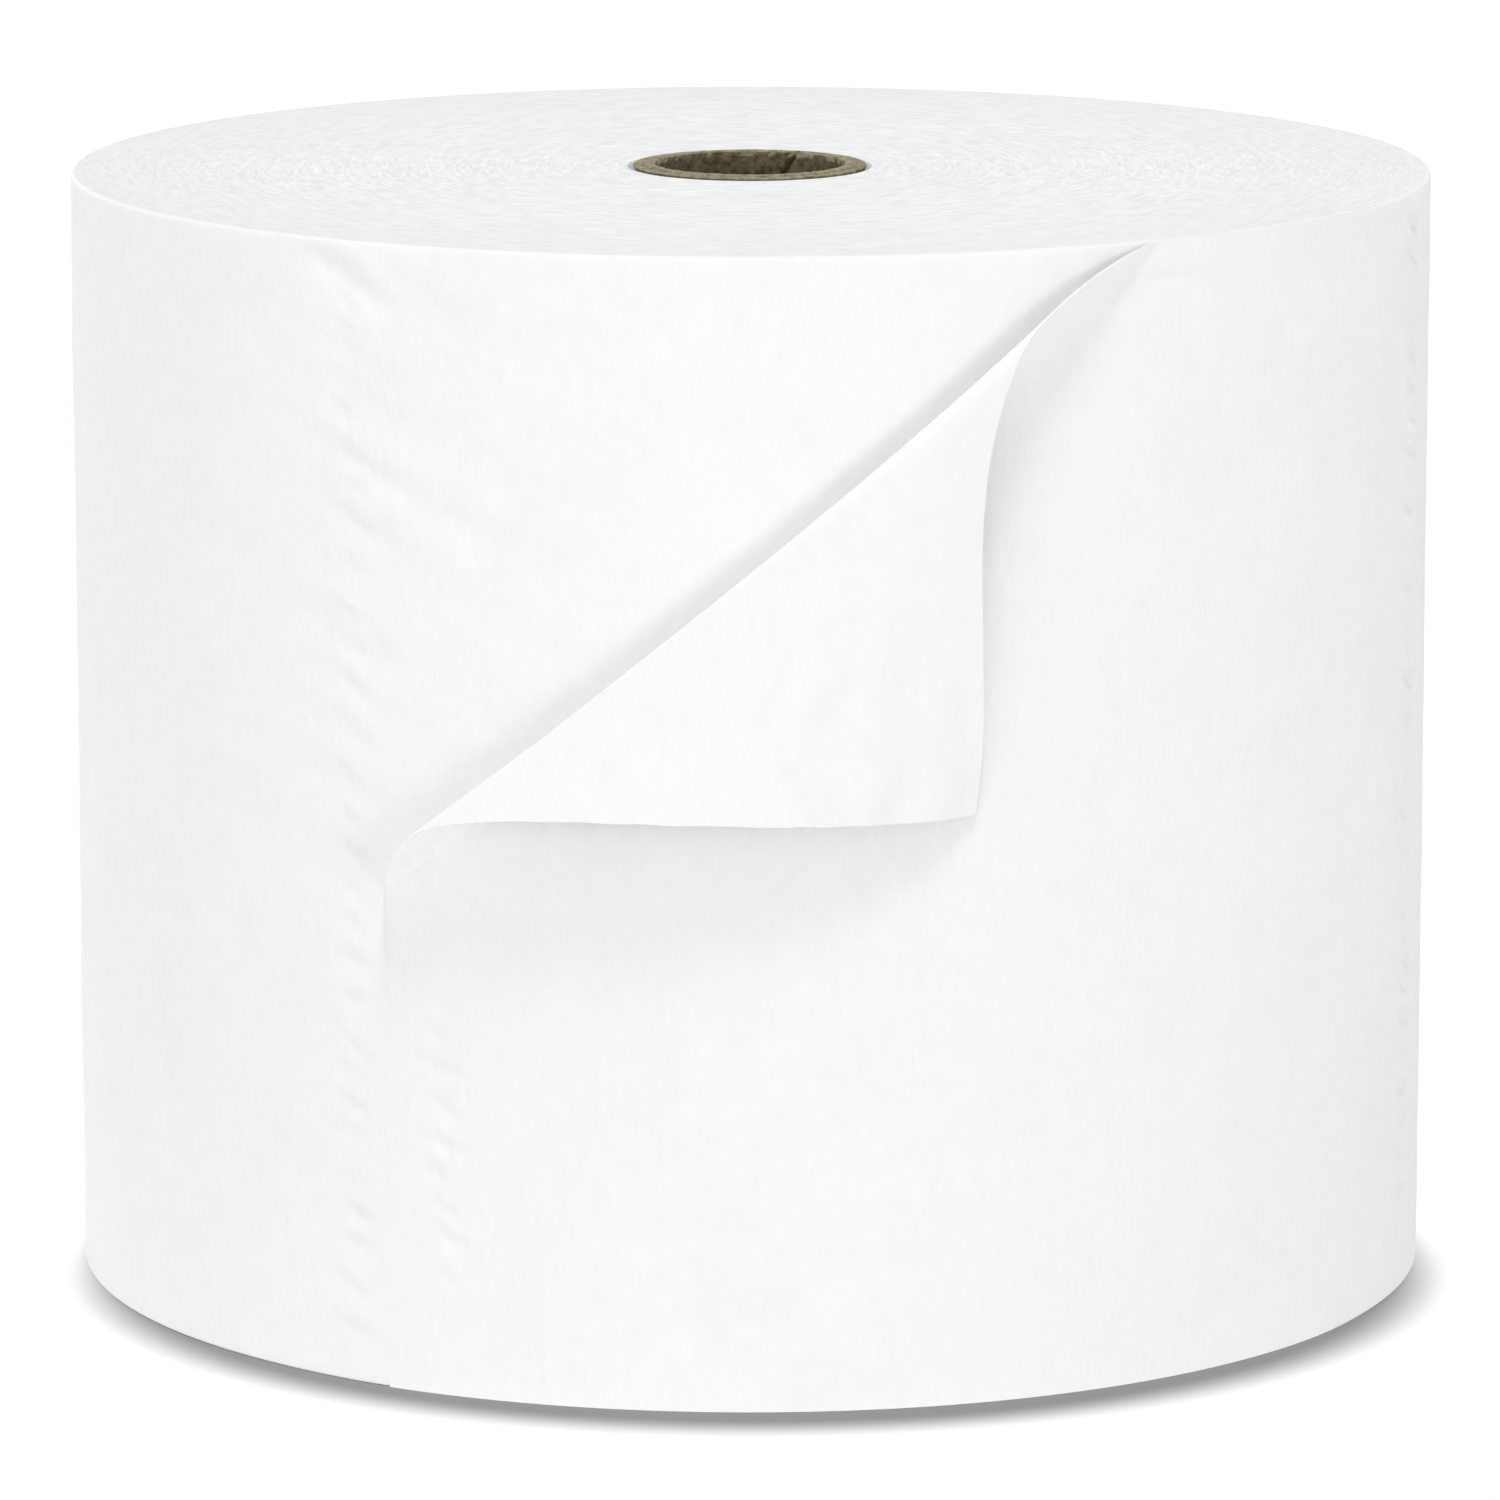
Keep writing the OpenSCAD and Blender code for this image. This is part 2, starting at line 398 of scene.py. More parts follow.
@dataclass
class WoundWeb:
    """All the turns under the last one: their outside, their cut edges and the bore."""

    winding: Winding
    relief: Relief
    wall_rows: int = 200
    rim_rows: int = 4
    rim_round: float = 0.35 * MM
    fine_step: float = 0.6 * MM
    fine_from: float = -13 * MM
    fine_to: float = 2 * MM
    middle_columns: int = 50
    worn_from: float = 104 * MM
    worn_to: float = 122 * MM
    worn_step: float = 0.9 * MM
    coarse_columns: int = 105
    turn_pitch: float = 1.6 * MM
    valley_depth: float = 0.05 * MM
    end_grain: float = 0.012 * MM
    under_gap: float = 0.02 * MM
    flush_gap: float = 0.012 * MM
    step_from: float = 74 * MM
    step_to: float = 100 * MM
    right_of_edge: tuple[float, float] = (0.7 * MM, 3 * MM)
    left_of_edge: float = -16 * MM
    bore_radius: float = 10.85 * MM
    angles: list[float] = field(init=False)

    def __post_init__(self) -> None:
        """Lay out the columns round the roll."""
        self.angles = self._angles()

    def _angles(self) -> list[float]:
        """Return the columns' angles from the torn edge, closer together at the creases."""
        bands = (
            (self.fine_from, self.fine_to, round((self.fine_to - self.fine_from) / self.fine_step)),
            (self.fine_to, self.worn_from, self.middle_columns),
            (self.worn_from, self.worn_to, round((self.worn_to - self.worn_from) / self.worn_step)),
            (self.worn_to, self.fine_from + TURN * self.winding.radius, self.coarse_columns),
        )
        return [
            blend(low, high, i / count) / self.winding.radius
            for low, high, count in bands
            for i in range(count)
        ]

    def outside(self, angle: float, above: float) -> float:
        """Return the radius of the outside at an angle from the torn edge.

        Args:
            angle: Angle from the torn edge, the way the web runs inwards.
            above: Height over the top edge.

        Returns:
            The radius: under the last turn at the front, and the last turn itself behind.
        """
        size = self.winding
        turned = angle % TURN
        along = turned * size.radius if turned < math.pi else (turned - TURN) * size.radius
        under = size.web + self.under_gap
        if turned < math.pi:
            step = under * (1 - ease(self.step_from, self.step_to, along))
            beside = 1 - ease(*self.right_of_edge, along)
        else:
            step = under * (turned - math.pi) / math.pi
            beside = ease(self.left_of_edge, 0.0, along)
        step -= beside * size.pressed(above) * (step - self.flush_gap)
        return size.radius - step + self.relief.height(along, above)

    def _corner(self, angle: float, radius: float, z: float) -> Vector:
        """Return a point by its angle from the torn edge, radius and height."""
        turned = self.winding.tail_angle + angle
        return Vector((radius * math.sin(turned), -radius * math.cos(turned), z))

    def _wall(self) -> bmesh.types.BMesh:
        """Make the outside with both rounded rims, as one band round the roll."""
        size = self.winding
        rim, rows = self.rim_round, []
        for i in range(self.rim_rows + 1):
            turn = 0.5 * math.pi * i / self.rim_rows
            rows.append((rim * (1 - math.cos(turn)), rim * (1 - math.sin(turn))))
        heights = [(-size.height + a, b) for a, b in rows]
        low, high = -size.height + rim, -rim
        heights += [(blend(low, high, i / self.wall_rows), 0.0) for i in range(1, self.wall_rows)]
        heights += [(-a, b) for a, b in reversed(rows)]
        mesh, grid = grid_of(len(self.angles) + 1, len(heights))
        for i, column in enumerate(grid):
            angle = self.angles[i % len(self.angles)]
            for corner, (above, inset) in zip(column, heights):
                radius = self.outside(angle, above) - inset
                corner.co = self._corner(angle, radius, size.height + above)
        return mesh

    def _end_face(self, rows: int, above: float, seed: int) -> bmesh.types.BMesh:
        """Make the cut edges of the turns as one spiral ribbon over the top face.

        Args:
            rows: Number of strips across each turn.
            above: Height of the face over the top edge.
            seed: Start of the drawn unevenness.

        Returns:
            The face as a mesh whose two rims are true rounds.
        """
        size = self.winding
        count = len(self.angles)
        inner = self.bore_radius
        outer_rim = size.radius - self.rim_round
        turns = round((outer_rim - inner) / self.turn_pitch)
        pitch = (outer_rim - size.web - inner) / turns
        mesh, grid = grid_of((turns + 1) * count + 1, rows + 1)
        draw = random.Random(seed)
        heights = [draw.uniform(-1, 1) for _ in range((turns + 2) * rows)]
        for i, column in enumerate(grid):
            turn, step = divmod(i, count)
            angle = self.angles[step]
            share = turn + ((self.angles[step] - self.angles[0]) / TURN)
            rim = self.outside(angle, above) - self.rim_round
            low = max(0.0, share - 1) * pitch + inner
            high = min(share, turns) * pitch + inner
            stretch = (rim - inner) / (turns * pitch)
            for row, corner in enumerate(column):
                across = row / rows
                radius = inner + (blend(low, high, across) - inner) * stretch
                line = heights[min(turn * rows + row, len(heights) - 1)]
                if row == rows:
                    line = heights[min((turn + 1) * rows, len(heights) - 1)]
                place = self._corner(angle, radius, 0.0)
                line *= 0.6 + noise.noise(place / (16 * MM))
                valley = abs(2 * across - 1) ** 6
                tamed = ease(0, 1 * MM, rim - radius) * ease(0, 0.3 * MM, radius - inner)
                sunk = self.end_grain * (1.5 - line) + self.valley_depth * valley
                place.z = size.height - sunk * tamed
                corner.co = place
        return mesh

    def build(self, materials: list[bpy.types.Material]) -> bpy.types.Object:
        """Join the wall, the two end faces and the bore into one closed piece.

        Args:
            materials: The finish of the outside and that of the cut edges.

        Returns:
            The finished object.
        """
        size = self.winding
        whole = self._wall()
        top = self._end_face(rows=3, above=0.0, seed=3)
        bottom = self._end_face(rows=2, above=-size.height, seed=5)
        for corner in bottom.verts:
            corner.co.z = size.height - corner.co.z
        for part in (top, bottom, self._bore()):
            for polygon in part.faces:
                polygon.material_index = 1
            spare = bpy.data.meshes.new("spare")
            part.to_mesh(spare)
            part.free()
            whole.from_mesh(spare)
            bpy.data.meshes.remove(spare)
        bmesh.ops.remove_doubles(whole, verts=whole.verts[:], dist=0.0005 * MM)
        open_edges = sum(not edge.is_manifold for edge in whole.edges)
        LOG.info("wound web: %d open edges", open_edges)
        bmesh.ops.recalc_face_normals(whole, faces=whole.faces[:])
        return new_object("wound_web", whole, materials)

    def _bore(self) -> bmesh.types.BMesh:
        """Make the bore that the board core fills."""
        mesh, grid = grid_of(len(self.angles) + 1, 2)
        for i, column in enumerate(grid):
            for corner, z in zip(column, (0.0, self.winding.height)):
                corner.co = self._corner(self.angles[i % len(self.angles)], self.bore_radius, z)
        return mesh


@dataclass
class LastTurn:
    """The sheet of the last turn, from the side of the roll to its torn edge and folded corner."""

    winding: Winding
    relief: Relief
    corner: FoldedCorner
    fine_step: float = 0.45 * MM
    fine_to: float = 14 * MM
    coarse_step: float = 0.9 * MM
    reach: float = 106 * MM
    row_step: float = 0.5 * MM
    creased_to: float = 0.2
    tuck_from: float = 88 * MM
    tuck_to: float = 104 * MM
    tuck_depth: float = 0.08 * MM

    def _place(self, along: float, above: float) -> Vector:
        """Return where a point of the flat web lies on the roll.

        The sheet's far side is tucked under the outside of the wound web, so no edge shows.
        """
        size = self.winding
        place, over = self.corner.shape(along, above)
        flat = 1 - ease(0.0, self.creased_to, over)
        bump = self.relief.height(place.x, min(0.0, place.y))
        lift = max(place.z + bump * flat, bump)
        tucked = (size.web + self.tuck_depth) * ease(self.tuck_from, self.tuck_to, along)
        return size.point(place.x, place.y, lift - tucked)

    def build(self, materials: list[bpy.types.Material]) -> bpy.types.Object:
        """Lay a grid over the flat web, carry it to its place and give it its thickness.

        Args:
            materials: The finish of the outer ply and that of the inner ply.

        Returns:
            The finished object.
        """
        size = self.winding
        fine = round(self.fine_to / self.fine_step)
        coarse = round((self.reach - self.fine_to) / self.coarse_step)
        alongs = [self.fine_to * i / fine for i in range(fine)]
        alongs += [blend(self.fine_to, self.reach, i / coarse) for i in range(coarse + 1)]
        rows = round(size.height / self.row_step) + 1
        mesh, grid = grid_of(len(alongs), rows)
        for along, column in zip(alongs, grid):
            for row, corner in enumerate(column):
                corner.co = self._place(along, -size.height * (1 - row / (rows - 1)))
        for edge in mesh.edges:
            edge.smooth = not edge.is_boundary
        sheet = new_object("last_turn", mesh, materials)
        wall = sheet.modifiers.new("web", "SOLIDIFY")
        wall.thickness = size.web
        wall.offset = 0
        wall.material_offset = 1
        return sheet


@dataclass(frozen=True)
class BoardCore:
    """The core: a tube of two plies of board, wound on a slant, with the inner ply's butt seam."""

    outer: float = 10.45 * MM
    wall: float = 1.95 * MM
    outer_ply: float = 0.9 * MM
    height: float = 99.3 * MM
    ply_step: float = 0.12 * MM
    lay: float = math.radians(32)
    seam_angle: float = math.radians(150)
    seam_width: float = 0.32 * MM
    seam_depth: float = 0.3 * MM
    rim_deep: float = 0.3 * MM
    columns: int = 120
    bore_rows: int = 70

    def _profile(self) -> list[tuple[float, float, float]]:
        """Return the section as radius, height and how much of the seam shows there."""
        bore, joint = self.outer - self.wall, self.outer - self.outer_ply
        soft = 0.1 * MM
        top, low_top = self.height, self.height - self.ply_step
        rim = [
            (self.outer, low_top - soft, 0.0),
            (self.outer - soft, low_top, 0.0),
            (blend(self.outer, joint, 0.5), low_top, 0.0),
            (joint + 0.05 * MM, low_top, 0.0),
            (joint, low_top - 0.06 * MM, 0.0),
            (joint, top - soft, 0.0),
            (joint - soft, top, 0.0),
            (blend(joint, bore, 0.5), top, 0.6),
            (bore + soft, top, 1.0),
            (bore, top - soft, 1.0),
        ]
        inside = [
            (bore, blend(top - 0.5 * MM, 0.0, i / self.bore_rows), 1.0)
            for i in range(self.bore_rows + 1)
        ]
        return [(self.outer, 0.0, 0.0), (self.outer, 0.5 * self.height, 0.0)] + rim + inside

    def _angles(self) -> list[float]:
        """Return the columns' angles, with four set close together for the seam."""
        half = self.seam_width / 2 / (self.outer - self.wall)
        edges = [-1.35 * half, -half, half, 1.35 * half]
        rest = TURN - 2.7 * half
        count = self.columns - len(edges)
        return edges + [1.35 * half + rest * (i + 1) / (count + 1) for i in range(count)]

    def build(self, materials: list[bpy.types.Material]) -> bpy.types.Object:
        """Wrap the section round the bore, its columns laid on the slant of the plies.

        Args:
            materials: The finish of the cut rim, and the darker board of the plies' faces, whose darkness
                is painted shade for the inside of the tube.

        Returns:
            The finished object.
        """
        profile, angles = self._profile(), self._angles()
        slant = math.tan(self.lay) / (self.outer - self.wall)
        mesh, grid = grid_of(self.columns + 1, len(profile) + 1)
        for i, column in enumerate(grid):
            turn = angles[i % self.columns]
            in_seam = 1 <= i % self.columns <= 2
            for corner, (radius, z, seam) in zip(column, profile + profile[:1]):
                angle = self.seam_angle + turn + slant * (self.height - z)
                frayed = 0.05 * MM * noise.noise(Vector((9 * turn, z / MM, 3.0)))
                near_top = ease(self.height - 0.6 * MM, self.height - 0.2 * MM, z)
                if in_seam and seam > 0:
                    radius += self.seam_depth * seam
                    z -= 0.35 * MM * near_top
                z += frayed * near_top
                corner.co = Vector((radius * math.sin(angle), -radius * math.cos(angle), z))
        bmesh.ops.remove_doubles(mesh, verts=mesh.verts[:], dist=0.0005 * MM)
        bmesh.ops.recalc_face_normals(mesh, faces=mesh.faces[:])
        # Painted shade: every face below the cut rim takes the darker board, so the bore looks dim.
        for face in mesh.faces:
            middle = face.calc_center_median()
            if middle.z < self.height - self.rim_deep:
                face.material_index = 1
        return new_object("board_core", mesh, materials)


def linear(colour: str) -> tuple[float, float, float, float]:
    """Turn an sRGB hex value into a linear colour with full alpha."""
    channels = [int(colour[i : i + 2], 16) / 255 for i in (0, 2, 4)]
    curve = [c / 12.92 if c <= 0.04045 else ((c + 0.055) / 1.055) ** 2.4 for c in channels]
    return (*curve, 1.0)


def add_node(
    tree: bpy.types.NodeTree, kind: str, settings: dict | None = None, **inputs: object
) -> bpy.types.Node:
    """Add one node to a tree, with its settings and its inputs.

    Args:
        tree: The material's or world's node tree.
        kind: The node's type, such as ShaderNodeTexNoise.
        settings: The node's own options by name.
        inputs: A socket to link, or a value, for each input by name. An underscore stands for a
            space, and in_N is input number N.

    Returns:
        The new node.
    """
    node = tree.nodes.new(kind)
    for name, value in (settings or {}).items():
        setattr(node, name, value)
    for name, value in inputs.items():
        socket = node.inputs[int(name[3:]) if name.startswith("in_") else name.replace("_", " ")]
        if isinstance(value, bpy.types.NodeSocket):
            tree.links.new(value, socket)
        else:
            socket.default_value = value
    return node


def blank_material(name: str) -> tuple[bpy.types.Material, bpy.types.NodeTree]:
    """Make an empty node material and return it with its tree."""
    material = bpy.data.materials.new(name)
    material.use_nodes = True
    material.node_tree.nodes.clear()
    return material, material.node_tree


class Tissue(Enum):
    """What the web shows: its outer ply, its inner ply drawn a little lighter as painted light, and the cut
    edges of its turns drawn darker, partly their grain and partly painted shade.
    """

    FLAT = "creped_tissue"
    INNER = "creped_tissue_inner_ply_painted_lighter"
    CUT = "cut_edges_of_tissue_with_painted_shade"


@dataclass(frozen=True)
class TissueFinish:
    """Soft creped two-ply tissue: matt, near white, with a fine upright grain from creping."""

    side: Tissue
    colour: str
    # Dark tone of the grain. For the cut edges it is darker still as painted shade, and for the inner ply a
    # little lighter as painted light.
    grain_and_painted_shading: str
    roughness: float = 0.95

    def material(self) -> bpy.types.Material:
        """Build the finish for one of the web's faces."""
        material, tree = blank_material(self.side.value)
        place = add_node(tree, "ShaderNodeTexCoord").outputs["Object"]
        cut = self.side is Tissue.CUT
        height = self._turns(tree, place) if cut else self._creping(tree, place)
        patches = add_node(
            tree,
            "ShaderNodeTexNoise",
            Vector=place,
            Scale=90.0,
            Detail=3.0,
            Roughness=0.6,
        ).outputs["Fac"]
        colour = add_node(
            tree,
            "ShaderNodeMix",
            {"data_type": "RGBA"},
            Factor=self._toned(tree, patches, height),
            in_6=linear(self.grain_and_painted_shading),
            in_7=linear(self.colour),
        ).outputs[2]
        bump = add_node(
            tree,
            "ShaderNodeBump",
            Strength=1.0,
            Distance=0.06 * MM if cut else 0.07 * MM,
            Height=height,
        ).outputs["Normal"]
        shader = add_node(
            tree,
            "ShaderNodeBsdfPrincipled",
            Base_Color=colour,
            Roughness=self.roughness,
            Normal=bump,
        )
        shader.inputs["Specular IOR Level"].default_value = 0.15
        add_node(tree, "ShaderNodeOutputMaterial", Surface=shader.outputs["BSDF"])
        return material

    def _toned(
        self, tree: bpy.types.NodeTree, patches: bpy.types.NodeSocket, height: bpy.types.NodeSocket
    ) -> bpy.types.NodeSocket:
        """Mix soft patches with the grain into one tone from 0 to 1."""
        grain = 0.85 if self.side is Tissue.CUT else 0.45
        return add_node(
            tree,
            "ShaderNodeMix",
            {"data_type": "FLOAT"},
            Factor=grain,
            in_2=patches,
            in_3=height,
        ).outputs[0]

    def _creping(self, tree: bpy.types.NodeTree, place: bpy.types.NodeSocket) -> bpy.types.NodeSocket:
        """Return the height of the fine creping, drawn at 0.7 mm so that it shows."""
        drawn = add_node(
            tree,
            "ShaderNodeMapping",
            Vector=place,
            Scale=(1.0, 1.0, 0.35),
        ).outputs["Vector"]
        fine = add_node(
            tree,
            "ShaderNodeTexNoise",
            Vector=drawn,
            Scale=1400.0,
            Detail=2.0,
            Roughness=0.7,
        ).outputs["Fac"]
        coarse = add_node(
            tree,
            "ShaderNodeTexNoise",
            Vector=place,
            Scale=320.0,
            Detail=3.0,
            Roughness=0.55,
        ).outputs["Fac"]
        both = add_node(
            tree, "ShaderNodeMix", {"data_type": "FLOAT"}, Factor=0.45, in_2=fine, in_3=coarse
        ).outputs[0]
        return add_node(tree, "ShaderNodeMapRange", Value=both, in_1=0.3, in_2=0.7).outputs["Result"]

    def _turns(self, tree: bpy.types.NodeTree, place: bpy.types.NodeSocket) -> bpy.types.NodeSocket:
        """Return the height of the cut edges: short strokes, 2.3 mm along the turns and 0.33 mm wide."""
        split = add_node(tree, "ShaderNodeSeparateXYZ", Vector=place)
        flat = add_node(
            tree, "ShaderNodeCombineXYZ", X=split.outputs["X"], Y=split.outputs["Y"]
        ).outputs["Vector"]
        radius = add_node(
            tree, "ShaderNodeVectorMath", {"operation": "LENGTH"}, in_0=flat
        ).outputs["Value"]
        across = add_node(
            tree, "ShaderNodeMath", {"operation": "MULTIPLY"}, in_0=radius, in_1=3000.0
        ).outputs["Value"]
        along = add_node(
            tree, "ShaderNodeVectorMath", {"operation": "SCALE"}, in_0=flat, Scale=430.0
        ).outputs["Vector"]
        sides = add_node(tree, "ShaderNodeSeparateXYZ", Vector=along)
        wound = add_node(
            tree, "ShaderNodeCombineXYZ", X=sides.outputs["X"], Y=sides.outputs["Y"], Z=across
        ).outputs["Vector"]
        strokes = add_node(
            tree, "ShaderNodeTexNoise", Vector=wound, Scale=1.0, Detail=2.0, Roughness=0.6
        ).outputs["Fac"]
        crisp = add_node(tree, "ShaderNodeMapRange", Value=strokes, in_1=0.33, in_2=0.67).outputs["Result"]
        # Painted shade: the strokes grow lower towards the outer rim, which softens their bump and pulls
        # the tone towards the dark, so the top face darkens towards its rim.
        rim_shade_and_lower_strokes = add_node(
            tree, "ShaderNodeMapRange", Value=radius, in_1=38 * MM, in_2=61 * MM, in_3=1.0, in_4=0.55
        ).outputs["Result"]
        return add_node(
            tree, "ShaderNodeMath", {"operation": "MULTIPLY"}, in_0=crisp, in_1=rim_shade_and_lower_strokes
        ).outputs["Value"]


@dataclass(frozen=True)
class GreyboardFinish:
    """Unbleached recycled board: matt grey-brown with darker fibres and specks."""

    name: str
    colour: str
    fibre: str

    def material(self) -> bpy.types.Material:
        """Build the board's finish."""
        material, tree = blank_material(self.name)
        place = add_node(tree, "ShaderNodeTexCoord").outputs["Object"]
        fibres = add_node(
            tree, "ShaderNodeTexNoise", Vector=place, Scale=1500.0, Detail=3.0, Roughness=0.7
        ).outputs["Fac"]
        tone = add_node(tree, "ShaderNodeMapRange", Value=fibres, in_1=0.35, in_2=0.62).outputs["Result"]
        colour = add_node(
            tree,
            "ShaderNodeMix",
            {"data_type": "RGBA"},
            Factor=tone,
            in_6=linear(self.fibre),
            in_7=linear(self.colour),
        ).outputs[2]
        bump = add_node(
            tree, "ShaderNodeBump", Strength=1.0, Distance=0.05 * MM, Height=fibres
        ).outputs["Normal"]
        shader = add_node(
            tree, "ShaderNodeBsdfPrincipled", Base_Color=colour, Roughness=0.9, Normal=bump
        )
        shader.inputs["Specular IOR Level"].default_value = 0.2
        add_node(tree, "ShaderNodeOutputMaterial", Surface=shader.outputs["BSDF"])
        return material


@dataclass(frozen=True)
class Softbox:
    """One area lamp, placed and aimed by the photographer."""

    name: str
    place: tuple[float, float, float]
    size: float
    watts: float

    def build(self, target: Vector) -> None:
        """Hang the lamp and aim it at a point."""
        lamp = bpy.data.lights.new(self.name, "AREA")
        lamp.shape = "SQUARE"
        lamp.size = self.size
        lamp.energy = self.watts
        holder = bpy.data.objects.new(self.name, lamp)
        holder.location = self.place
        holder.rotation_euler = (target - Vector(self.place)).to_track_quat("-Z", "Y").to_euler()
        bpy.context.scene.collection.objects.link(holder)


@dataclass(frozen=True)
class Studio:
    """A white sweep under soft light, and the camera."""

    sky_even: float = 0.065
    sky_left: float = 0.90
    sky_right: float = 0.26
    sky_front: float = 0.42
    sky_back: float = 1.21
    sky_colour: tuple[float, float, float, float] = (0.985, 1.0, 0.992, 1.0)
    floor_size: float = 6.0
    floor_shade: float = 0.88
    floor_shade_seen: float = 0.22
    floor_glow: float = 0.845
    shadow_glow: float = 0.085
    shadow_middle: tuple[float, float] = (0.6 * MM, -9.8 * MM)
    shadow_size: tuple[float, float] = (63.8 * MM, 60.4 * MM)
    shadow_core: float = 0.882
    camera_back: float = 817.4 * MM
    camera_height: float = 202.1 * MM
    camera_down: float = math.radians(10.83)
    lens: float = 220.4

    def build(self) -> None:
        """Set up the view, the sky, the floor, the lamps and the camera."""
        bpy.context.scene.view_settings.view_transform = "Standard"
        self._sky()
        self._floor()
        target = Vector((0, 0, 50 * MM))
        for box in (
            Softbox("left_box", (-1.8, -1.8, 0.8), 1.2, 3.4),
            Softbox("low_box", (1.15, -1.8, 0.22), 0.7, 11.8),
            Softbox("high_box", (0.1, -0.75, 1.90), 0.22, 5.8),
            Softbox("steep_box", (0.1, -0.55, 1.95), 0.3, 7.8),
        ):
            box.build(target)
        self._camera()

    def _sky(self) -> None:
        """Light each side at its own strength, and show plain white to the camera."""
        world = bpy.data.worlds.new("studio_sky")
        bpy.context.scene.world = world
        world.use_nodes = True
        tree = world.node_tree
        tree.nodes.clear()
        seen = self._seen(tree)
        aim = add_node(tree, "ShaderNodeTexCoord").outputs["Generated"]  # the ray's direction
        level = self.sky_even
        for side, strength in (
            ((-1, 0, 0), self.sky_left),
            ((1, 0, 0), self.sky_right),
            ((0, -1, 0), self.sky_front),
            ((0, 1, 0), self.sky_back),
        ):
            facing = add_node(
                tree, "ShaderNodeVectorMath", {"operation": "DOT_PRODUCT"}, in_0=aim, in_1=side
            ).outputs["Value"]
            share = add_node(
                tree, "ShaderNodeMath", {"operation": "MAXIMUM"}, in_0=facing, in_1=0.0
            ).outputs["Value"]
            level = add_node(
                tree, "ShaderNodeMath", {"operation": "MULTIPLY_ADD"}, in_0=share, in_1=strength, in_2=level
            ).outputs["Value"]
        soft = add_node(tree, "ShaderNodeBackground", Color=self.sky_colour, Strength=level)
        plain = add_node(tree, "ShaderNodeBackground", Color=(1, 1, 1, 1), Strength=1.0)
        both = add_node(
            tree, "ShaderNodeMixShader", Fac=seen, in_1=soft.outputs[0], in_2=plain.outputs[0]
        )
        add_node(tree, "ShaderNodeOutputWorld", Surface=both.outputs[0])

    def _floor(self) -> None:
        """Lay the white floor, with the soft dark line where the roll stands on it.

        The photo's contact shadow is wider than this light gives, so it is drawn round the
        roll's foot by a formula. A camera under the floor looks through it.
        """
        mesh = bmesh.new()
        bmesh.ops.create_grid(mesh, x_segments=1, y_segments=1, size=self.floor_size / 2)
        material, tree = blank_material("white_sweep")
        seen = self._seen(tree)
        shade = add_node(
            tree,
            "ShaderNodeMix",
            {"data_type": "FLOAT"},
            Factor=seen,
            in_2=self.floor_shade,
            in_3=self.floor_shade_seen,
        )
        paper = add_node(tree, "ShaderNodeBsdfDiffuse", Color=shade.outputs[0])
        bright = add_node(
            tree,
            "ShaderNodeMapRange",
            {"interpolation_type": "SMOOTHSTEP"},
            Value=self._reach(tree),
            in_1=self.shadow_core,
            in_2=1.0,
            in_3=self.shadow_glow,
            in_4=self.floor_glow,
        ).outputs["Result"]
        glow = add_node(
            tree, "ShaderNodeMath", {"operation": "MULTIPLY"}, in_0=bright, in_1=seen
        ).outputs["Value"]
        shown = add_node(tree, "ShaderNodeEmission", Color=(1, 1, 1, 1), Strength=glow)
        both = add_node(tree, "ShaderNodeAddShader", in_0=paper.outputs[0], in_1=shown.outputs[0])
        below = add_node(
            tree,
            "ShaderNodeMath",
            {"operation": "MULTIPLY"},
            in_0=add_node(tree, "ShaderNodeNewGeometry").outputs["Backfacing"],
            in_1=seen,
        ).outputs["Value"]
        clear = add_node(tree, "ShaderNodeBsdfTransparent")
        whole = add_node(
            tree, "ShaderNodeMixShader", Fac=below, in_1=both.outputs[0], in_2=clear.outputs[0]
        )
        add_node(tree, "ShaderNodeOutputMaterial", Surface=whole.outputs[0])
        floor = new_object("floor", mesh, [material])

    def _seen(self, tree: bpy.types.NodeTree) -> bpy.types.NodeSocket:
        """Return 1 for rays from the camera, a gloss or a clear thing, which see the plain backdrop."""
        rays = add_node(tree, "ShaderNodeLightPath")
        seen = rays.outputs["Is Camera Ray"]
        for kind in ("Is Glossy Ray", "Is Transmission Ray"):
            seen = add_node(
                tree, "ShaderNodeMath", {"operation": "MAXIMUM"}, in_0=seen, in_1=rays.outputs[kind]
            ).outputs["Value"]
        return seen

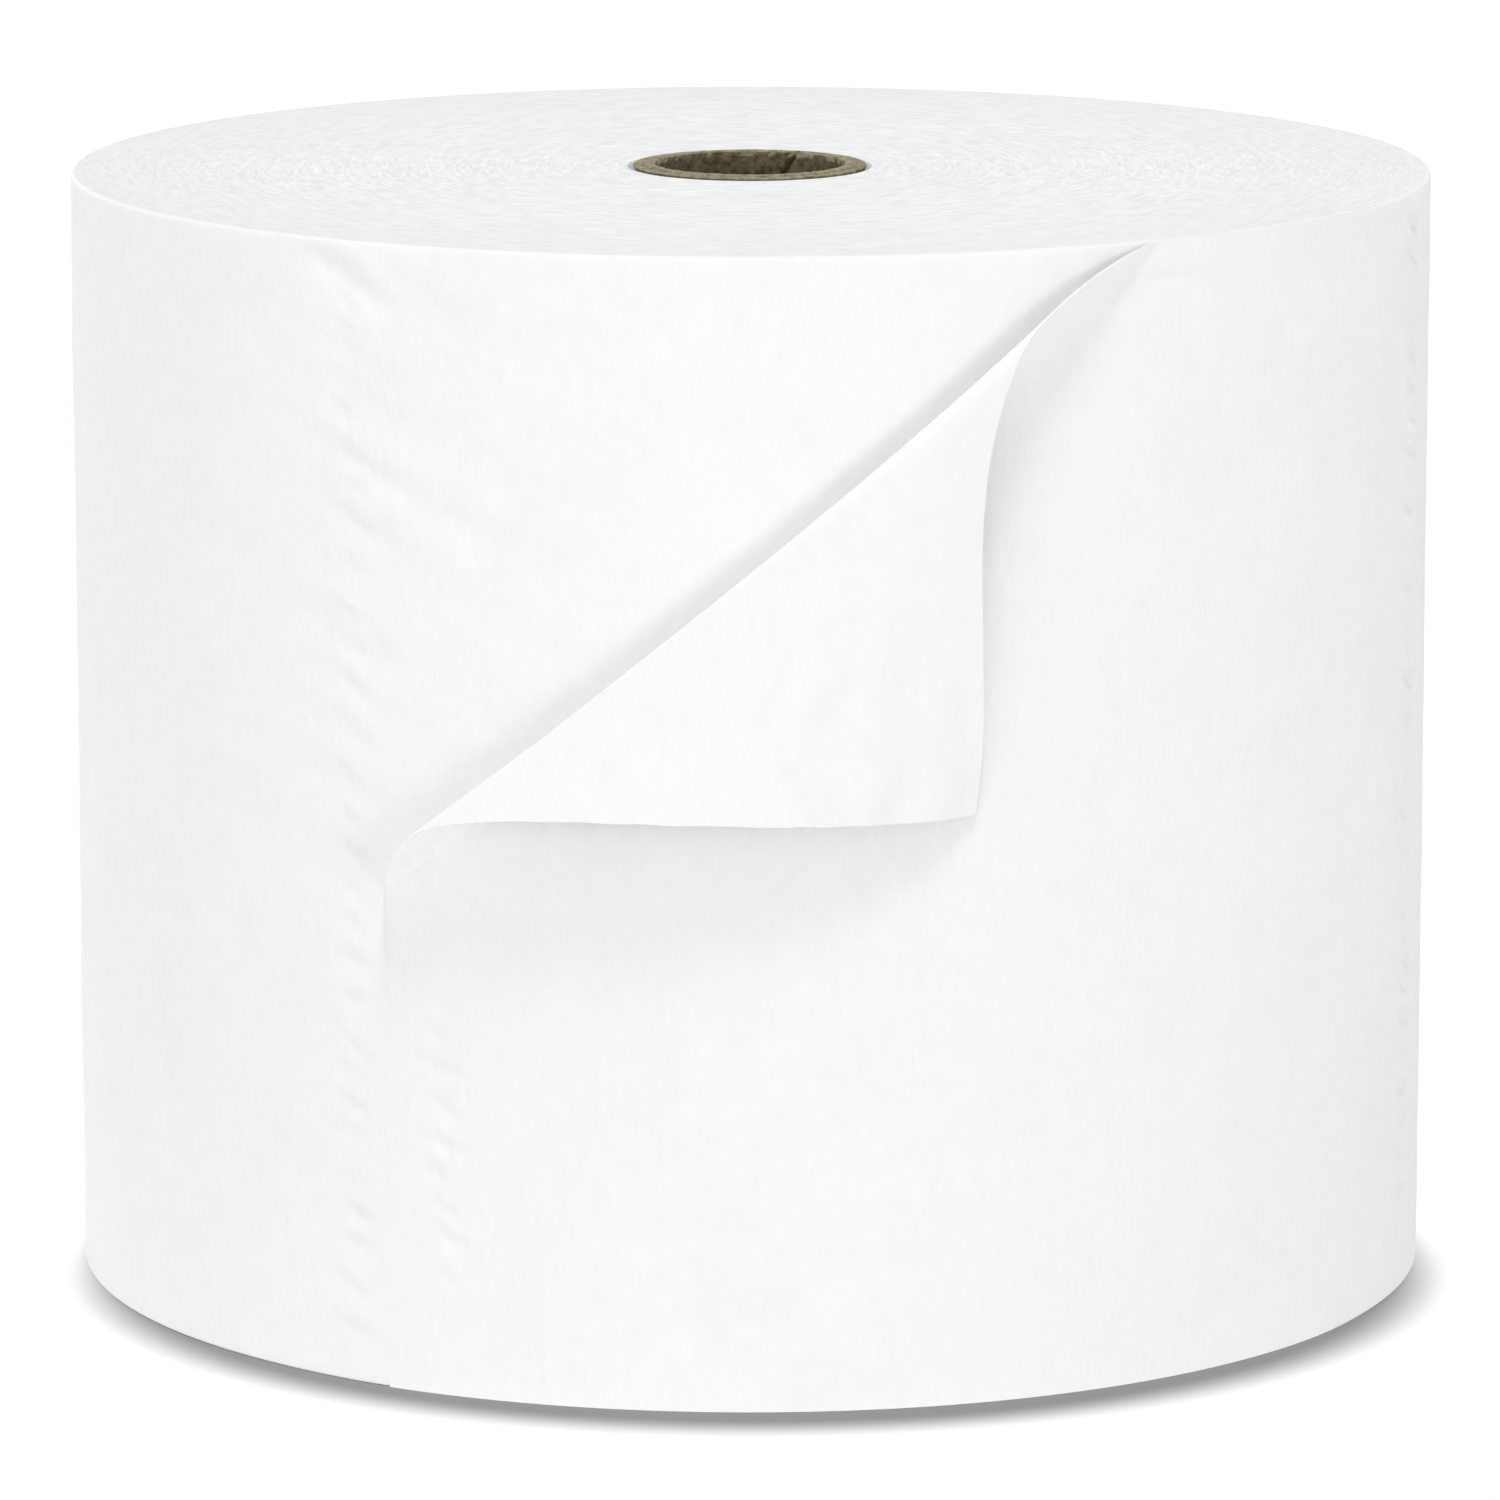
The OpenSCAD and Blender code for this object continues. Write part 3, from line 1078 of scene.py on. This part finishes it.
    def _reach(self, tree: bpy.types.NodeTree) -> bpy.types.NodeSocket:
        """Return how far out a point of the floor is, where 1 is the shadow's soft rim."""
        place = add_node(tree, "ShaderNodeTexCoord").outputs["Object"]
        (x, y), (a, b) = self.shadow_middle, self.shadow_size
        centred = add_node(
            tree,
            "ShaderNodeMapping",
            Vector=place,
            Location=(-x / a, -y / b, 0.0),
            Scale=(1 / a, 1 / b, 0.0),
        ).outputs["Vector"]
        return add_node(
            tree, "ShaderNodeVectorMath", {"operation": "LENGTH"}, in_0=centred
        ).outputs["Value"]

    def _camera(self) -> None:
        """Set the camera in front of the roll, a little above it."""
        data = bpy.data.cameras.new("camera")
        data.sensor_width = 36.0
        data.lens = self.lens
        camera = bpy.data.objects.new("camera", data)
        camera.location = (0, -self.camera_back, self.camera_height)
        camera.rotation_euler = Euler((math.pi / 2 - self.camera_down, 0, 0))
        bpy.context.scene.collection.objects.link(camera)
        bpy.context.scene.camera = camera


def main() -> None:
    """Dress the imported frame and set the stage."""
    logging.basicConfig(level=logging.INFO, format="%(name)s: %(message)s")
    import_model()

    winding = Winding()
    relief = Relief(winding)
    flat = TissueFinish(Tissue.FLAT, "F9F9F8", "F0F1F0").material()
    # Painted light: the inner ply's grain tone F1F2F1 is a little lighter than the outer ply's F0F1F0, so
    # the folded flap comes out brighter.
    inner = TissueFinish(Tissue.INNER, "F9F9F8", "F1F2F1").material()
    # Painted shade: the cut edges' dark tone E4E4E6 is darker than the tissue's own grain, so the top face
    # shows darker than the wall.
    cut = TissueFinish(Tissue.CUT, "F9F9F9", "E4E4E6").material()
    rim = GreyboardFinish("cut_greyboard", "A39A83", "726850").material()
    # Painted shade: the bore's board, 7C705A with 4E432E fibres, is drawn darker than the rim's so the
    # inside of the tube looks dim.
    bore_shade_board = GreyboardFinish("greyboard_darkened_as_painted_bore_shade", "7C705A", "4E432E").material()

    web = WoundWeb(winding, relief).build([flat, cut])
    sheet = LastTurn(winding, relief, FoldedCorner()).build([flat, inner])
    core = BoardCore().build([rim, bore_shade_board])
    for piece, slot in ((web, "tissue"), (sheet, "tissue"), (core, "core_board")):
        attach(piece, "root")
        LOG.info("%s: %d faces", piece.name, len(piece.data.polygons))
    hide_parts("tissue_roll")
    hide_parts("tissue_roll")
    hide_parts("core_tube")

    Studio().build()


if __name__ == "__main__":
    main()
